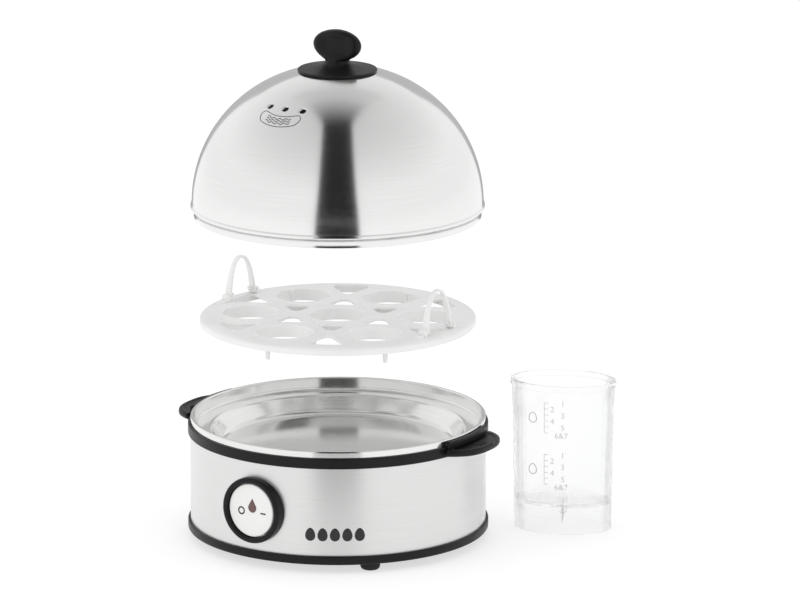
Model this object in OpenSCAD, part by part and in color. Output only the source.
// Electric egg cooker, shown taken apart: a round steel base with a heated pan, a white
// tray for seven eggs with two folding carrying bails, a domed steel lid with a black knob,
// and a clear oval measuring cup with an egg pricker under its floor.
// Origin: on the base's axis, at the level of the surface that it stands on. +Z is up and
// -Y is the front. The tray and the lid are drawn lifted off, straight above their seats.

/* [Base] */
// Outer diameter of the black upper ring
ring_d = 190; // [160:1:240]
// Height of the gap under the base, which the feet fill
foot_h = 5.6; // [4:0.1:9]
// Height of the black lower ring
base_ring_h = 5.5; // [4:0.1:9]
// Height of steel that shows between the two rings
shell_h = 56.4; // [50:0.1:90]
// Height of the black upper ring
top_ring_h = 6.6; // [5.5:0.1:9]
// Thickness of the steel shell
shell_t = 0.8; // [0.6:0.1:1.2]
// How far the steel shell stands inside the upper ring's face
shell_inset = 1.5; // [1.3:0.1:2.5]
// Diameter of a rubber foot
foot_d = 12.4; // [10:0.1:16]
// Radius of the circle that the feet stand on
foot_circle_r = 85; // [60:1:90]

/* [Heated pan] */
// Thickness of the pan's steel
pan_t = 1.0; // [0.8:0.1:1.4]
// Height of the collar above the upper ring
collar_h = 4.3; // [3:0.1:7]
// Thickness of the folded collar
collar_w = 2.2; // [1.8:0.1:3]
// Drop from the collar's top to the ledge
ledge_drop = 8.2; // [8:0.1:10]
// Width of the ledge
ledge_w = 10.8; // [9:0.1:13]
// Depth from the ledge to the pan's floor
pan_depth = 11.5; // [10:0.1:14]
// How far the pan's wall leans in on its way down
pan_lean = 6.4; // [4:0.1:8]

/* [Handle tabs] */
// How far a tab stands out from the ring
tab_out = 15.2; // [12:0.1:20]
// Width of a tab at its tip
tab_tip_w = 34; // [30:1:44]
// Width of a tab at the ring
tab_root_w = 56; // [48:1:64]
// Thickness of a tab
tab_t = 3.6; // [3:0.1:5]
// Direction of the right tab, in degrees from +X
tab_angle = -29; // [-45:1:-15]

/* [Switch] */
// Direction of the switch, in degrees from +X
switch_angle = -123.5; // [-130:0.5:-110]
// Height of the switch's middle above the standing surface
switch_z = 37.3; // [35:0.1:45]
// Outer diameter of the bezel
bezel_d = 42; // [40:0.5:48]
// How far the bezel stands out of the shell
bezel_out = 5.2; // [3:0.1:7]
// Diameter of the rocker's face
rocker_d = 34; // [28:0.5:36]
// Angle that the rocker rests at, each side of its middle
rocker_tilt = 2.5; // [1.5:0.1:3]

/* [Egg tray] */
// Outer diameter of the tray
tray_d = 174; // [150:1:176]
// Inner diameter of an egg ring
egg_hole_d = 35; // [32:0.5:37]
// Distance from the middle egg ring to the others
egg_pitch_r = 55.2; // [53:0.1:56]
// Depth of the wall of an egg ring
egg_wall_h = 7.8; // [5:0.1:10]
// Thickness of the tray's plastic
tray_t = 1.8; // [1.4:0.1:2.2]
// Height of the tray's rim
rim_h = 5.0; // [4:0.1:7]
// Direction of the first outer egg ring, in degrees from +X
tray_angle = -6; // [-30:1:30]
// Height that the tray is lifted above its seat, as drawn
tray_lift = 67.7; // [40:0.1:120]

/* [Bails] */
// Distance between a bail's feet
bail_w = 25; // [22:0.5:28]
// Height of a bail above its hinge
bail_h = 24.5; // [20:0.5:28]
// Thickness of a bail's band
bail_t = 1.7; // [1.4:0.1:2]
// Width of a bail's band
bail_band = 4.4; // [3.5:0.1:6]
// Distance from the tray's axis to a bail
bail_r = 77; // [75:0.5:78]

/* [Lid] */
// Outer diameter of the dome's bead
bead_d = 185; // [180:1:188]
// Height of the dome above its bead
dome_h = 90; // [70:1:110]
// Thickness of the lid's steel
lid_t = 0.8; // [0.6:0.1:1.2]
// Height of the inset flange under the bead
flange_h = 5.4; // [4:0.1:7]
// Diameter of a steam hole
steam_d = 4.4; // [3:0.1:6]
// Height that the lid is lifted above the collar, as drawn
lid_lift = 134.4; // [110:0.1:200]

/* [Knob] */
// Diameter of the knob's disc
knob_disc_d = 50; // [40:0.5:60]
// Height of the knob above its disc's lower edge
knob_h = 26.6; // [24:0.1:34]
// Width of the knob's head
knob_head_w = 30; // [24:0.5:36]
// Height of the knob's head
knob_head_h = 19.6; // [16:0.1:24]
// Thickness of the knob's neck
knob_neck_d = 13.6; // [12:0.1:18]

/* [Measuring cup] */
// Length of the cup's oval mouth
cup_l = 66; // [56:1:80]
// Width of the cup's oval mouth
cup_w = 44; // [36:1:56]
// Height of the cup
cup_h = 97; // [80:1:110]
// Thickness of the cup's wall
cup_t = 1.5; // [1.2:0.1:2]
// Height of the cup's floor above its lower rim
cup_floor_z = 19; // [17:0.5:24]
// Distance from the base's axis to the cup, along X
cup_x = 142.7; // [140:0.1:190]
// Distance from the base's axis to the cup, along Y
cup_y = 16.6; // [0:0.1:40]
// Direction of the oval's long side, in degrees from +X
cup_angle = -12.4; // [-30:0.1:30]

/* [Hidden] */
$fn = 96;

// clearances
fit = 0.1;          // between fixed pieces that slip together
run = 0.05;         // radial clearance of a hinge pin

// heights of the base, from the standing surface
ring_r = ring_d / 2;
shell_r = ring_r - shell_inset;
base_ring_r = ring_r + 0.2;
z_floor = foot_h;                           // underside of the bottom cover
floor_t = 2.5;
z_shell_show = z_floor + base_ring_h;
z_ring = z_shell_show + shell_h;            // lower edge of the upper ring
z_ring_top = z_ring + top_ring_h;
z_collar = z_ring_top + collar_h;
z_ledge = z_collar - ledge_drop;
z_pan = z_ledge - pan_depth;
z_shell_top = z_ring + 0.6;
lip_t = base_ring_r - shell_r - fit;

// radii of the pan
collar_r = ring_r - 1.6;
collar_in_r = collar_r - collar_w;
neck_r = collar_in_r + pan_t;
ledge_in_r = collar_in_r - ledge_w;
pan_r = ledge_in_r - pan_lean;
z_hem = z_ring_top - 2;                     // lower edge of the collar's fold

// screw columns that hang from the upper ring
column_n = 3;
column_angle = -46;
column_d = 8;
column_top_d = 10;
column_r = shell_r - 8.5;
pilot_r = 1.25;
boss_h = 4;
z_boss = z_floor + floor_t + boss_h;
screw_r = 1.5;
screw_head_r = 3.2;
screw_head_h = 2.6;
screw_l = 14;
z_screw_seat = z_floor + 3.6;

// heater
plate_r = 55;
plate_t = 3;
z_plate = z_pan - pan_t - plate_t;
tube_r = 3.3;
tube_ring_r = 44;
z_tube = z_plate - tube_r;
tube_gap = 44;                              // angle left open between the tube's ends
tube_angle = 38;                            // direction of the gap's middle
cold_l = 12;                                // length of a cold end
stud_n = 3;
stud_ring_r = 27;
stud_r = 2;
stud_l = 17;
stud_angle = 98;
shield_t = 0.8;
z_shield = z_plate - stud_l + 3.2;
shield_r = 68;
clip_t = 0.8;

// rubber feet
foot_n = 3;
foot_angle = -76;
foot_pin_r = 2.6;

// switch
bezel_r = bezel_d / 2;
rocker_r = rocker_d / 2;
rocker_gap = 0.5;
bezel_face = shell_r + bezel_out;
bezel_neck_r = rocker_r + 2.6;
rocker_sink = 1.4;                          // depth of the rocker's face in the bezel
rocker_face = bezel_face - rocker_sink;
rocker_t = 5;
pivot_depth = 3.4;
pivot_at = rocker_face - pivot_depth;
pivot_r = 1.3;
pivot_l = 1.5;
body_front = rocker_face - rocker_t - 2.6;
body_d = 30;
body_l = 16;
blade_l = 8;
drop_r = 3.05;
drop_h = 8.9;
lens_x = 1.2;
lens_y = 1.9;
lens_t = 1.6;
lamp_r = 2.4;
lamp_l = 9;

// what stands on the bottom cover
block_pos = [-15, 46, z_floor + floor_t];
block_size = [30, 14, 13];
buzzer_pos = [34, 14];
gland_w = 13;
gland_h = 13;
gland_bore_r = 3.6;
lead_r = 1.3;
z_gland_low = z_floor + floor_t + fit;

// handle tabs
tab_z = z_ring_top - 1.2 - tab_t;
block_w = 4.2;                              // block at a tab's root, beside the collar
block_half = 15;
block_top = z_collar - 1.3;

// tray
tray_r = tray_d / 2;
plateau_r = tray_r - 7;
rim_drop = 2;                               // height that the shoulder falls
z_tray_seat = z_ledge + rim_h + fit;        // top of the tray when its rim is on the ledge
z_tray = z_tray_seat + tray_lift;
egg_r = egg_hole_d / 2;
peg_r = egg_pitch_r + egg_r + 0.5;
egg_places = concat([[0, 0]], [for (i = [0 : 5]) egg_pitch_r * [cos(60 * i), sin(60 * i)]]);
peg_gap = 2.6;                              // under the pegs, when the rim is on the ledge
peg_h = z_tray_seat - z_pan - peg_gap;
peg_top_r = 2.1;
peg_tip_r = 1.2;
inner_opening_r = egg_pitch_r / sqrt(3);
outer_in_r = 51;
outer_out_r = plateau_r - tray_t - 0.6;

// bails
pin_r = 1.3;
pin_l = 2.6;
ear_t = 2.6;
ear_h = 4.6;
bail_pivot_h = 2.9;
bail_foot_gap = 0.3;

// lid
z_seat_lid = z_collar - flange_h;           // lower edge of the flange when closed
z_flange = z_seat_lid + lid_lift;
z_bead = z_flange + flange_h;
bead_r = bead_d / 2;
dome_r = bead_r - 0.8;
flange_r = collar_in_r - 0.8;
bead_h = 3.2;
z_dome = z_bead + bead_h;
dome_top = dome_h - bead_h;
dome_power = 2.08;
z_knob = z_dome + dome_top * sqrt(1 - pow(knob_disc_d / 2 / dome_r, dome_power));
z_apex = z_dome + dome_top;
steam_angles = [-137.5, -124.8, -112.1];
steam_r = 55.8;
steam_tilt = 36;
seat_r = 8;                                 // flat round the screw hole

// knob
knob_disc_r = knob_disc_d / 2;
insert_r = 3.2;
insert_h = 9;
lid_screw_r = 1.95;
lid_screw_hole_r = 2.2;
z_head = z_knob + knob_h - knob_head_h / 2;

// cup
cup_taper = 0.95;
cup_lip = 1.4;
cup_lip_h = 3.6;
cup_facets = 72;
boss_r = 3.1;
needle_r = 0.45;
needle_out = 5;
needle_in = 7;

// ---------------------------------------------------------------- helpers

// Points of an arc about c, from angle a to angle b.
function arc(c, r, a, b, n = 6) =
    [for (i = [0 : n]) c + r * [cos(a + (b - a) * i / n), sin(a + (b - a) * i / n)]];

// Height of the dome at radius r, above the top of the bead.
function dome_z(r, rr, h) = h * sqrt(max(0, 1 - pow(r / rr, dome_power)));

// Points of the dome's curve from its rim to radius r1.
function dome_curve(rr, h, r1, n = 26) =
    [for (i = [0 : n]) let (r = r1 + (rr - r1) * cos(90 * i / n)) [r, dome_z(r, rr, h)]];

// A list of points in the opposite order.
function reverse(v) = [for (i = [len(v) - 1 : -1 : 0]) v[i]];

// An ellipse of half axes a and b as a closed outline.
function ellipse(a, b, n = cup_facets) = [for (i = [0 : n - 1]) [a * cos(360 * i / n), b * sin(360 * i / n)]];

// A drop: a round end of radius r with a pointed top, h high in all.
function drop(r, h) = let (tip = h - r, t = acos(r / tip))
    concat(arc([0, 0], r, 90 - t, -270 + t, 36), [[0, tip]]);

// Copies the children n times round the Z axis, the first one at angle a.
module around(n, a = 0) for (i = [0 : n - 1]) rotate([0, 0, a + 360 * i / n]) children();

// Carries a shape drawn about +Z out to the switch: z becomes distance from the base's axis.
module at_switch() translate([0, 0, switch_z]) rotate([0, 0, switch_angle]) rotate([90, 0, 90]) children();

// Turns the children about the rocker's upright pivot.
module rocked() translate([0, 0, pivot_at]) rotate([0, -rocker_tilt, 0]) translate([0, 0, -pivot_at])
    children();

// A straight insulated lead from point a to point b.
module lead(a, b) {
    d = b - a;
    translate(a) rotate([0, acos(d.z / norm(d)), atan2(d.y, d.x)])
        cylinder(r = lead_r, h = norm(d), $fn = 24);
}

// ---------------------------------------------------------------- base

// Moulded floor and lower ring: a groove in it takes the shell's lower edge.
module bottom_cover() color("#232324") difference() {
    union() {
        translate([0, 0, z_floor]) cylinder(r = shell_r - shell_t - 2, h = floor_t);
        translate([0, 0, z_floor]) rotate_extrude() polygon(concat(
            [[shell_r - shell_t - 2.2, 0]], arc([base_ring_r - 1.2, 1.2], 1.2, -90, 0),
            arc([base_ring_r - 0.5, base_ring_h - 0.5], 0.5, 0, 90),
            [[base_ring_r - lip_t, base_ring_h], [base_ring_r - lip_t, floor_t],
             [shell_r - shell_t - fit, floor_t], [shell_r - shell_t - fit, floor_t + 4],
             [shell_r - shell_t - 2.2, floor_t + 4]]));
        around(column_n, column_angle) translate([column_r, 0, z_floor])
            cylinder(r = screw_head_r + 1.8, h = floor_t + boss_h);
    }
    // vent slots
    around(18) for (x = [24, 50]) translate([x, -1.5, z_floor - 1]) cube([16, 3, floor_t + 2]);
    around(column_n, column_angle) translate([column_r, 0, z_floor - 1]) {
        cylinder(r = screw_r + 0.3, h = 20);
        cylinder(r = screw_head_r + 0.3, h = z_screw_seat - z_floor + 1);
    }
    around(foot_n, foot_angle) translate([foot_circle_r, 0, z_floor - 1]) cylinder(r = foot_pin_r, h = 20);
    translate([-gland_w / 2 - fit, shell_r - 6, z_gland_low - fit])
        cube([gland_w + 2 * fit, 12, gland_h + 2 * fit]);
}

// Rubber feet: a domed pad below, and a pin with a head that is pulled through the floor.
module feet() color("#1c1c1d") around(foot_n, foot_angle) translate([foot_circle_r, 0, 0]) rotate_extrude()
    polygon(concat([[0, 0], [foot_d / 2 - 2.4, 0]], arc([foot_d / 2 - 2.4, 2.4], 2.4, -90, 0),
        [[foot_d / 2, z_floor], [foot_pin_r, z_floor], [foot_pin_r, z_floor + floor_t],
         [foot_pin_r + 0.8, z_floor + floor_t], [foot_pin_r - 0.6, z_floor + floor_t + 3.4],
         [0, z_floor + floor_t + 3.4]]));

// Brushed steel sleeve, with a hole for the switch and a notch for the cord gland.
module body_shell() color("#c9c9c6") difference() {
    translate([0, 0, z_floor + floor_t]) rotate_extrude($fn = 128)
        translate([shell_r - shell_t, 0]) square([shell_t, z_shell_top - z_floor - floor_t]);
    at_switch() cylinder(r = bezel_neck_r + fit, h = shell_r + 10);
    translate([-gland_w / 2 - fit, shell_r - 8, 0])
        cube([gland_w + 2 * fit, 16, z_gland_low + gland_h + fit]);
}

// One tab: a rounded plate with a sunk grip and two ridges, and the block at its root.
module handle_tab() {
    difference() {
        translate([0, 0, tab_z]) linear_extrude(tab_t) difference() {
            hull() {
                for (s = [-1, 1]) translate([ring_r + tab_out - 5, s * (tab_tip_w / 2 - 5)])
                    circle(r = 5, $fn = 32);
                translate([ring_r - 8, -tab_root_w / 2]) square([2, tab_root_w]);
            }
            circle(r = ring_r - 1);
        }
        translate([0, 0, tab_z + tab_t - 0.7]) linear_extrude(2) hull() {
            for (s = [-1, 1]) translate([ring_r + tab_out - 5.2, s * (tab_tip_w / 2 - 5.4)])
                circle(r = 3.2, $fn = 32);
            for (s = [-1, 1]) translate([ring_r + 3.6, s * (tab_tip_w / 2 - 2.4)]) circle(r = 1.5, $fn = 24);
        }
    }
    for (x = [7, 10.6]) translate([ring_r + x, -8, tab_z + tab_t - 0.9]) cube([1.1, 16, 0.8]);
    translate([0, 0, tab_z]) rotate([0, 0, -block_half]) rotate_extrude(angle = 2 * block_half)
        translate([collar_r + 0.2, 0]) polygon(concat([[0, 0], [block_w, 0]],
            arc([block_w - 1, block_top - tab_z - 1], 1, 0, 90), [[0, block_top - tab_z]]));
}

// Moulded upper ring: it caps the shell, carries the pan's collar, and its columns reach
// down to the bottom cover's screws.
module top_ring() color("#1f1f20") union() {
    rotate_extrude() polygon(concat(
        [[shell_r + fit, z_ring]], arc([ring_r - 0.5, z_ring + 0.5], 0.5, -90, 0),
        arc([ring_r - 0.8, z_ring_top - 0.8], 0.8, 0, 90),
        [[collar_r + fit, z_ring_top], [collar_r + fit, z_hem], [neck_r + 0.2, z_hem],
         [neck_r + 0.2, z_ledge - pan_t - fit], [ledge_in_r + 1, z_ledge - pan_t - fit],
         [ledge_in_r + 1, z_ledge - pan_t - fit - 2.6],
         [shell_r - shell_t - fit, z_ledge - pan_t - fit - 2.6],
         [shell_r - shell_t - fit, z_shell_top + fit], [shell_r + fit, z_shell_top + fit]]));
    for (a = [0, 180]) rotate([0, 0, tab_angle + a]) handle_tab();
    around(column_n, column_angle) translate([column_r, 0, 0]) difference() {
        union() {
            translate([0, 0, z_boss]) cylinder(r = column_d / 2, h = z_ledge - pan_t - 1.5 - z_boss);
            translate([0, 0, z_shield + shield_t])
                cylinder(r = column_top_d / 2, h = z_ledge - pan_t - 1.5 - z_shield - shield_t);
        }
        translate([0, 0, z_boss - 1]) cylinder(r = pilot_r, h = screw_l + 1);
    }
}

// Deep-drawn steel pan: folded collar, ledge, leaning wall and flat floor.
module heating_pan() color("#cfcfcc") rotate_extrude($fn = 128) polygon(concat(
    [[0, z_pan]], arc([pan_r - 1.4, z_pan + 1.4], 1.4, -90, -30, 4),
    arc([ledge_in_r - 1.2, z_ledge - 1.2], 1.2, 30, 90, 4),
    arc([collar_in_r - 1, z_ledge + 1], 1, -90, 0, 4),
    arc([collar_in_r + collar_w / 2, z_collar - collar_w / 2], collar_w / 2, 180, 0, 10),
    [[collar_r, z_hem], [neck_r, z_hem], [neck_r, z_ledge - pan_t], [ledge_in_r, z_ledge - pan_t],
     [pan_r + 0.4, z_pan - pan_t], [0, z_pan - pan_t]]));

// ---------------------------------------------------------------- heater

// Cast aluminium plate brazed under the pan.
module heater_plate() color("#b8babd") difference() {
    translate([0, 0, z_plate]) cylinder(r = plate_r, h = plate_t);
    around(stud_n, stud_angle) translate([stud_ring_r, 0, z_plate - 1]) cylinder(r = stud_r, h = plate_t + 2);
}

// Sheathed heating element: an open ring of tube with two cold ends turned down.
module heating_element() color("#8d8f92") {
    rotate([0, 0, tube_angle + tube_gap / 2]) translate([0, 0, z_tube])
        rotate_extrude(angle = 360 - tube_gap) translate([tube_ring_r, 0]) circle(r = tube_r, $fn = 48);
    for (s = [-1, 1]) rotate([0, 0, tube_angle + s * tube_gap / 2])
        translate([tube_ring_r, 0, z_tube - cold_l])
            cylinder(r = tube_r + 0.3, h = cold_l + tube_r - 0.1, $fn = 48);
}

// Ceramic beads on the element's ends, each with its tag.
module element_seals() color("#e7e4da") for (s = [-1, 1]) rotate([0, 0, tube_angle + s * tube_gap / 2])
    translate([tube_ring_r, 0, z_tube - cold_l]) {
        translate([0, 0, -4]) cylinder(r = tube_r - 0.3, h = 4, $fn = 48);
        translate([-0.4, -2, -11]) cube([0.8, 4, 7]);
    }

// Bimetal disc thermostat, clamped to the middle of the plate.
module thermostat() color("#303236") union() {
    translate([0, 0, z_plate - 1.6]) cylinder(r = 8.6, h = 1.6);
    translate([0, 0, z_plate - 10]) cylinder(r = 7.8, h = 8.5);
    for (s = [-1, 1]) translate([s * 4 - 0.4, -3, z_plate - 16]) cube([0.8, 6, 6.5]);
}

// Thermal fuse in its sleeve, held to the plate by a wrapped clip.
module thermal_fuse() color("#d8d3c4") translate([-28, -18, z_plate - 2.2]) rotate([0, 90, -57]) union() {
    translate([0, 0, -12]) cylinder(r = 2, h = 24, $fn = 48);
    translate([0, 0, -4]) cylinder(r = 2.2, h = 8, $fn = 48);
}

// Weld studs with their nuts, which hang the heat shield from the plate.
module pan_studs() color("#a9abad") around(stud_n, stud_angle) translate([stud_ring_r, 0, 0]) {
    translate([0, 0, z_plate + plate_t - stud_l - plate_t]) cylinder(r = stud_r, h = stud_l + plate_t);
    difference() {
        translate([0, 0, z_shield - 3.2]) cylinder(r = 4.04, h = 3.2, $fn = 6);
        translate([0, 0, z_shield - 4]) cylinder(r = stud_r, h = 5);
    }
}

// Sheet-steel heat shield: its three arms slip over the ring's columns.
module heat_shield() color("#b3b5b7") difference() {
    union() {
        translate([0, 0, z_shield]) cylinder(r = shield_r, h = shield_t);
        around(column_n, column_angle) translate([shield_r - 4, -6, z_shield])
            cube([column_r - shield_r + 10, 12, shield_t]);
    }
    around(column_n, column_angle) translate([column_r, 0, z_shield - 1])
        cylinder(r = column_d / 2 + fit, h = 4);
    around(stud_n, stud_angle) translate([stud_ring_r, 0, z_shield - 1]) cylinder(r = stud_r + 0.2, h = 4);
    for (s = [-1, 1]) rotate([0, 0, tube_angle + s * tube_gap / 2])
        translate([tube_ring_r, 0, z_shield - 1]) cylinder(r = tube_r + 1.2, h = 4);
    translate([0, 0, z_shield - 1]) cylinder(r = 9.6, h = 4);
}

// Push-on clips that hold the shield's arms up on the columns.
module shield_clips() color("#909295") around(column_n, column_angle)
    translate([column_r, 0, z_shield - clip_t]) difference() {
        cylinder(r = column_d / 2 + 2.6, h = clip_t);
        translate([0, 0, -1]) cylinder(r = column_d / 2, h = 4);
    }

// Pan-head screws from below into the columns.
module housing_screws() color("#9a9c9e") around(column_n, column_angle)
translate([column_r, 0, z_screw_seat]) {
    difference() {
        translate([0, 0, -screw_head_h]) cylinder(r = screw_head_r, h = screw_head_h);
        for (a = [0, 90]) rotate([0, 0, a]) translate([-2, -0.5, -screw_head_h - 1]) cube([4, 1, 2.4]);
    }
    cylinder(r = screw_r, h = z_boss - z_screw_seat - 0.2);
    translate([0, 0, z_boss - z_screw_seat - 0.2]) cylinder(r = pilot_r, h = screw_l - 2);
}

// ---------------------------------------------------------------- switch

// Black bezel: a ring on the shell, a neck through it, and two holes for the rocker's pivot.
module switch_bezel() color("#161617") difference() {
    union() {
        at_switch() difference() {
            translate([0, 0, shell_r - 6]) rotate_extrude() polygon(concat(
                [[rocker_r + rocker_gap, 0], [bezel_r, 0]],
                arc([bezel_r - 1.6, bezel_out + 6 - 1.6], 1.6, 0, 90),
                arc([rocker_r + rocker_gap + 1.2, bezel_out + 6 - 1.2], 1.2, 90, 180)));
            translate([0, -bezel_r - 1, 0]) rotate([-90, 0, 0])
                cylinder(r = shell_r + 0.05, h = bezel_d + 2, $fn = 128);
        }
        at_switch() translate([0, 0, body_front - 6]) difference() {
            cylinder(r = bezel_neck_r, h = shell_r + 0.6 - body_front + 6);
            translate([0, 0, -1]) cylinder(r = rocker_r + rocker_gap, h = 60);
        }
    }
    at_switch() translate([0, rocker_r + pivot_l + fit, pivot_at]) rotate([90, 0, 0])
        cylinder(r = pivot_r + run, h = rocker_d + 2 * (pivot_l + fit), $fn = 48);
}

// White rocker with two pivot pins, and a pocket for the lens.
module switch_rocker() color("#f1f1ef") at_switch() rocked() difference() {
    union() {
        translate([0, 0, rocker_face - rocker_t]) rotate_extrude() polygon(concat(
            [[0, 0], [rocker_r - 0.3, 0]], arc([rocker_r - 0.8, rocker_t - 0.8], 0.8, 0, 90),
            [[0, rocker_t]]));
        translate([0, rocker_r + pivot_l, pivot_at]) rotate([90, 0, 0])
            cylinder(r = pivot_r, h = rocker_d + 2 * pivot_l, $fn = 48);
    }
    translate([lens_x, lens_y, rocker_face - lens_t]) linear_extrude(lens_t + 1)
        polygon(drop(drop_r, drop_h));
}

// Smoked drop-shaped lens over the pilot lamp.
module lamp_lens() color("#6e5552") at_switch() rocked()
    translate([lens_x, lens_y, rocker_face - lens_t]) linear_extrude(lens_t + 0.15)
        polygon(drop(drop_r - 0.02, drop_h - 0.04));

// Contact block behind the rocker, clipped into the bezel's neck.
module switch_body() color("#2b2b2d") at_switch() difference() {
    union() {
        translate([0, 0, body_front - 3]) cylinder(r = rocker_r + rocker_gap, h = 3);
        translate([-body_d / 2 + 2, -body_d / 2 + 5, body_front - body_l])
            cube([body_d - 4, body_d - 10, body_l - 2]);
    }
    translate([0, 0, body_front - lamp_l - 0.5]) cylinder(r = lamp_r + 0.4, h = 30);
}

// Spade terminals of the switch.
module switch_terminals() color("#c8a75a") at_switch() for (s = [-1, 0, 1])
    translate([s * 8 - 0.4, -3.15, body_front - body_l - blade_l]) cube([0.8, 6.3, blade_l]);

// Neon pilot lamp in its well.
module pilot_lamp() color("#e08a5a") at_switch() translate([0, 0, body_front - lamp_l - 0.3]) union() {
    cylinder(r = lamp_r, h = lamp_l - lamp_r + 0.3, $fn = 48);
    translate([0, 0, lamp_l - lamp_r + 0.3]) sphere(r = lamp_r, $fn = 48);
}

// ---------------------------------------------------------------- wiring

// Round sounder that tells when the eggs are done.
module buzzer() color("#26272a") translate([buzzer_pos.x, buzzer_pos.y, z_floor + floor_t]) difference() {
    cylinder(r = 11, h = 9);
    translate([0, 0, 7.5]) cylinder(r = 1.6, h = 3);
}

// Three-pole terminal block on the bottom cover.
module terminal_block() color("#dcd8c8") translate(block_pos) difference() {
    cube(block_size);
    for (x = [5, 15, 25]) translate([x - 2.5, 4, 8]) cube([5, 6, 6]);
}

// Insulated leads from the block to the switch's outer terminals and to the element.
module wiring() color("#b9433a") {
    back = body_front - body_l - blade_l - 0.2;
    radial = [cos(switch_angle), sin(switch_angle)];
    across = [-sin(switch_angle), cos(switch_angle)];
    for (s = [-1, 1]) {
        end = back * radial - 8 * s * across;
        lead([block_pos.x + block_size.x / 2 + 10 * s, block_pos.y - 0.6, z_floor + floor_t + 5],
            [end.x, end.y, switch_z]);
    }
    hot = tube_ring_r * [cos(tube_angle + tube_gap / 2), sin(tube_angle + tube_gap / 2)];
    lead([block_pos.x + 25, block_pos.y + block_size.y + 3, z_floor + floor_t + 5],
        [hot.x, hot.y, z_tube - 24.4]);
}

// Bushing that the mains cord would pass through, held in the shell's notch by its groove.
module cord_gland() color("#19191a") difference() {
    union() {
        translate([-gland_w / 2, shell_r - 4, z_gland_low]) cube([gland_w, 7, gland_h]);
        translate([0, shell_r + 2, z_gland_low + gland_h / 2]) rotate([-90, 0, 0]) cylinder(r = 6.3, h = 6);
    }
    translate([0, shell_r - 10, z_gland_low + gland_h / 2]) rotate([-90, 0, 0])
        cylinder(r = gland_bore_r, h = 30);
}

// ---------------------------------------------------------------- tray

// One inner opening: a triangle with sides curved by the egg rings around it.
module inner_opening() intersection() {
    circle(r = 9.2, $fn = 3);
    difference() {
        circle(r = 12);
        for (a = [60, 180, 300]) rotate(a) translate([inner_opening_r, 0]) circle(r = 25.6);
    }
}

// One outer opening: a wedge between two egg rings, closed by the rim's arc.
module outer_opening() intersection() {
    difference() {
        circle(r = outer_out_r);
        for (a = [-30, 30]) rotate(a) translate([egg_pitch_r, 0]) circle(r = egg_r + 6.6);
    }
    polygon([[outer_in_r, 0], [outer_out_r + 6, (outer_out_r + 6 - outer_in_r) * tan(28)],
        [outer_out_r + 6, -(outer_out_r + 6 - outer_in_r) * tan(28)]]);
}

// Moulded tray: a plate with a rounded shoulder and rim, seven egg rings with hanging
// walls, openings between them, pegs to stand on, and ears for the bails.
module egg_tray() color("#f6f6f4") translate([0, 0, z_tray]) rotate([0, 0, tray_angle]) difference() {
    union() {
        rotate_extrude() polygon(concat([[0, -tray_t], [0, 0], [plateau_r, 0]],
            [for (a = [15 : 15 : 90]) [plateau_r + (tray_r - plateau_r) * sin(a), -rim_drop * (1 - cos(a))]],
            [[tray_r, -rim_h], [tray_r - tray_t, -rim_h], [tray_r - tray_t, -rim_drop - tray_t],
             [plateau_r, -tray_t - 0.4]]));
        rotate_extrude() translate([outer_out_r, -5]) square([tray_t, 5 - 0.5]);
        for (p = egg_places) translate([p.x, p.y, -egg_wall_h])
            cylinder(r = egg_r + tray_t, h = egg_wall_h - 0.5);
        around(6) translate([peg_r, 0, -peg_h])
            cylinder(r1 = peg_tip_r, r2 = peg_top_r, h = peg_h - 0.5, $fn = 48);
        for (a = [-30, 150]) rotate(a) bail_ears();
    }
    for (p = egg_places) translate([p.x, p.y, -20]) {
        cylinder(r = egg_r, h = 30);
        translate([0, 0, 20 - 0.8]) cylinder(r1 = egg_r, r2 = egg_r + 0.9, h = 0.85);
    }
    translate([0, 0, -10]) linear_extrude(20) around(6, 30) {
        translate([inner_opening_r, 0]) inner_opening();
        outer_opening();
    }
    for (a = [-30, 150]) rotate(a) {
        for (s = [-1, 1]) translate([bail_r, s * (bail_w / 2), 0]) {
            translate([-bail_band / 2 - 1.2, -bail_t / 2 - bail_foot_gap, -0.4])
                cube([bail_band + 2.4, bail_t + 2 * bail_foot_gap, 8]);
            translate([0, 0, bail_pivot_h]) rotate([90, 0, 0])
                cylinder(r = pin_r + run, h = 2 * pin_l + bail_t, center = true, $fn = 48);
        }
    }
}

// Two ears outside each bail foot, joined to the tray's plate.
module bail_ears() for (s = [-1, 1])
    translate([bail_r - 3, s * (bail_w / 2 + bail_t / 2 + bail_foot_gap + ear_t / 2) - ear_t / 2, -tray_t])
        cube([6, ear_t, ear_h + tray_t]);

// Half outline of a bail's arch at offset d from its middle line: the height follows a
// power of the half width, so that the top is round and the legs are nearly straight.
function arch(d, n = 28) = [for (i = [-n : n]) let (u = sin(90 * i / n),
    h = (bail_h - bail_t / 2 + d) * pow(max(0, 1 - pow(abs(u), 2.4)), 0.72)) [(bail_w / 2 + d) * u, h]];

// The arch at offset d, closed straight across at depth foot under its hinge line.
module footed_arch(d, foot) polygon(concat([[-bail_w / 2 - d, -foot]], arch(d), [[bail_w / 2 + d, -foot]]));

// One bail: a band bent into an arch, with a pin at each foot.
module bail(a) color("#f8f8f6") translate([0, 0, z_tray + bail_pivot_h]) rotate([0, 0, tray_angle + a])
translate([bail_r, 0, 0]) {
    rotate([90, 0, 90]) linear_extrude(bail_band, center = true) difference() {
        footed_arch(bail_t / 2, 1.9);
        footed_arch(-bail_t / 2, 2.5);
    }
    for (s = [-1, 1]) translate([0, s * (bail_w / 2 + bail_t / 2 - 0.4 + pin_l / 2), 0]) rotate([90, 0, 0])
        cylinder(r = pin_r, h = pin_l, center = true, $fn = 48);
}
module bail_right() bail(-30);
module bail_left() bail(150);

// ---------------------------------------------------------------- lid

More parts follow.
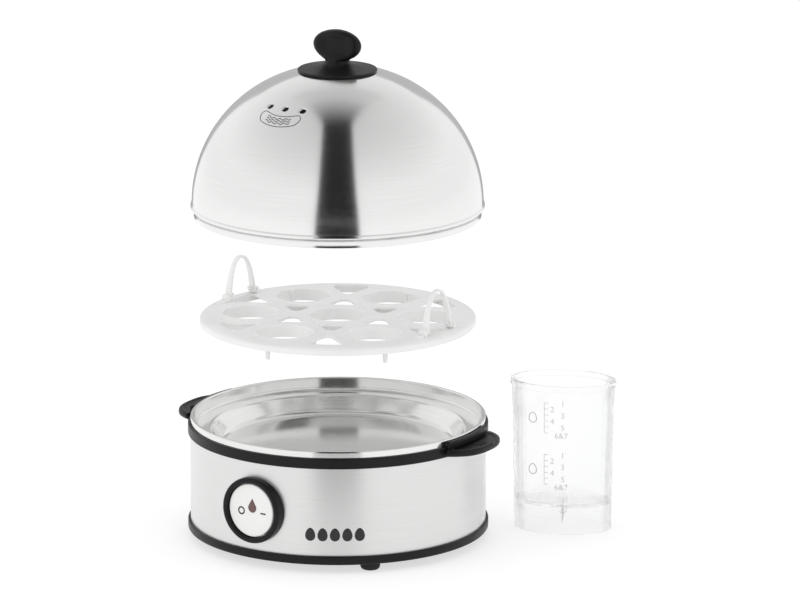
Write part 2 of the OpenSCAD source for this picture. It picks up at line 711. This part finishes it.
// Spun steel dome: steam holes, a rolled bead, and a flange that drops into the collar.
module lid_dome() color("#c6c6c3") difference() {
    rotate_extrude($fn = 128) polygon(concat(
        [[lid_screw_hole_r, z_apex], [seat_r, z_apex]],
        [for (p = reverse(dome_curve(dome_r, dome_top, 12))) [p.x, z_dome + p.y]],
        arc([bead_r - bead_h / 2, z_bead + bead_h / 2], bead_h / 2, 60, -90, 8),
        [[flange_r, z_bead], [flange_r, z_flange], [flange_r - lid_t, z_flange],
         [flange_r - lid_t, z_bead + 0.6], [dome_r - lid_t, z_dome - 0.6]],
        [for (p = dome_curve(dome_r - lid_t, dome_top - lid_t, 12)) if (p.x < dome_r - lid_t - 0.1)
            [p.x, z_dome + p.y]],
        [[seat_r, z_apex - lid_t], [lid_screw_hole_r, z_apex - lid_t]]));
    for (a = steam_angles) rotate([0, 0, a])
        translate([steam_r, 0, z_dome + dome_z(steam_r, dome_r, dome_top)]) rotate([0, steam_tilt, 0])
            cylinder(r = steam_d / 2, h = 12, center = true, $fn = 48);
}

// Moulded knob: a thin disc that follows the dome, a flaring neck and an oval head.
module lid_knob() color("#1a1a1b") difference() {
    union() {
        difference() {
            rotate_extrude() polygon(concat(
                [[0, z_knob], [knob_disc_r, z_knob]],
                [[knob_disc_r, z_knob + 1.2]],
                [for (i = [0 : 12]) let (t = i / 12)
                    [knob_neck_d / 2 + (knob_disc_r - knob_neck_d / 2) * pow(1 - t, 2.2),
                     z_knob + 1.6 + (knob_h - knob_head_h + 1) * pow(t, 2.2) + 3.2 * t]],
                [[0, z_knob + knob_h - knob_head_h + 5]]));
            translate([0, 0, z_dome]) rotate_extrude() polygon(concat([[0, -1], [dome_r, -1]],
                dome_curve(dome_r + 0.3, dome_top + 0.3, 0)));
            translate([0, 0, z_apex - 2]) cylinder(r = seat_r + 0.5, h = 2 + fit);
        }
        translate([0, 0, z_head]) rotate([0, 0, -24]) hull() for (x = [-1, 1])
            translate([x * (knob_head_w - knob_head_h) / 2, 0, 0]) rotate([90, 0, 0])
                rotate_extrude($fn = 32) polygon(concat([[0, -6.5]],
                    arc([knob_head_h / 2 - 5, 0], 5, -70, 70, 6), [[0, 6.5]]));
    }
    translate([0, 0, z_apex - 1]) cylinder(r = insert_r, h = insert_h + 1.2);
}

// Threaded insert moulded into the knob.
module knob_insert() color("#c9a552") difference() {
    translate([0, 0, z_apex + 0.2]) cylinder(r = insert_r, h = insert_h);
    translate([0, 0, z_apex - 1]) cylinder(r = lid_screw_r, h = insert_h + 4);
}

// Screw from inside the lid into the insert.
module knob_screw() color("#9a9c9e") {
    translate([0, 0, z_apex - lid_t - 1]) cylinder(r = lid_screw_r, h = insert_h + lid_t);
    translate([0, 0, z_apex - lid_t - 3.8]) difference() {
        cylinder(r = 4, h = 2.8);
        for (a = [0, 90]) rotate([0, 0, a]) translate([-2.4, -0.5, -1]) cube([4.8, 1, 2.4]);
    }
}

// Washer between the screw's head and the dome.
module knob_washer() color("#b4b6b8") translate([0, 0, z_apex - lid_t - 1]) difference() {
    cylinder(r = 6.5, h = 1);
    translate([0, 0, -1]) cylinder(r = lid_screw_r + 0.1, h = 3);
}

// ---------------------------------------------------------------- measuring cup

// Clear oval cup: a tapered wall, a lip, a floor part way up, and a boss for the pin.
module measuring_cup() color("#dfe6ea", 0.5) translate([cup_x, cup_y, 0]) rotate([0, 0, cup_angle]) {
    a = cup_l / 2;
    b = cup_w / 2;
    difference() {
        union() {
            linear_extrude(cup_h, scale = 1 / cup_taper) polygon(ellipse(a * cup_taper, b * cup_taper));
            translate([0, 0, cup_h - cup_lip_h]) linear_extrude(cup_lip_h)
                polygon(ellipse(a + cup_lip, b + cup_lip));
        }
        translate([0, 0, cup_floor_z]) linear_extrude(cup_h - cup_floor_z + 0.01, scale = 1 / cup_taper)
            polygon(ellipse(a * cup_taper - cup_t + 0.4, b * cup_taper - cup_t + 0.4));
        translate([0, 0, -1]) linear_extrude(cup_floor_z - cup_t + 1)
            polygon(ellipse(a * cup_taper - cup_t, b * cup_taper - cup_t));
    }
    difference() {
        translate([0, 0, needle_out + 4])
            cylinder(r = boss_r, h = cup_floor_z - cup_t - needle_out - 3.9, $fn = 32);
        translate([0, 0, needle_out]) cylinder(r = needle_r, h = needle_in + 4, $fn = 32);
    }
}

// Steel pricker under the cup's floor: pressed into the boss, point down.
module pricker_pin() color("#8f9194") translate([cup_x, cup_y, needle_out]) {
    cylinder(r = needle_r, h = needle_in + 4, $fn = 32);
    translate([0, 0, -2.5]) cylinder(r1 = 0.05, r2 = needle_r, h = 2.5, $fn = 32);
}

bottom_cover();
feet();
body_shell();
top_ring();
heating_pan();
heater_plate();
heating_element();
element_seals();
thermostat();
thermal_fuse();
pan_studs();
heat_shield();
shield_clips();
housing_screws();
switch_bezel();
switch_rocker();
lamp_lens();
switch_body();
switch_terminals();
pilot_lamp();
buzzer();
terminal_block();
wiring();
cord_gland();
egg_tray();
bail_right();
bail_left();
lid_dome();
lid_knob();
knob_insert();
knob_screw();
knob_washer();
measuring_cup();
pricker_pin();
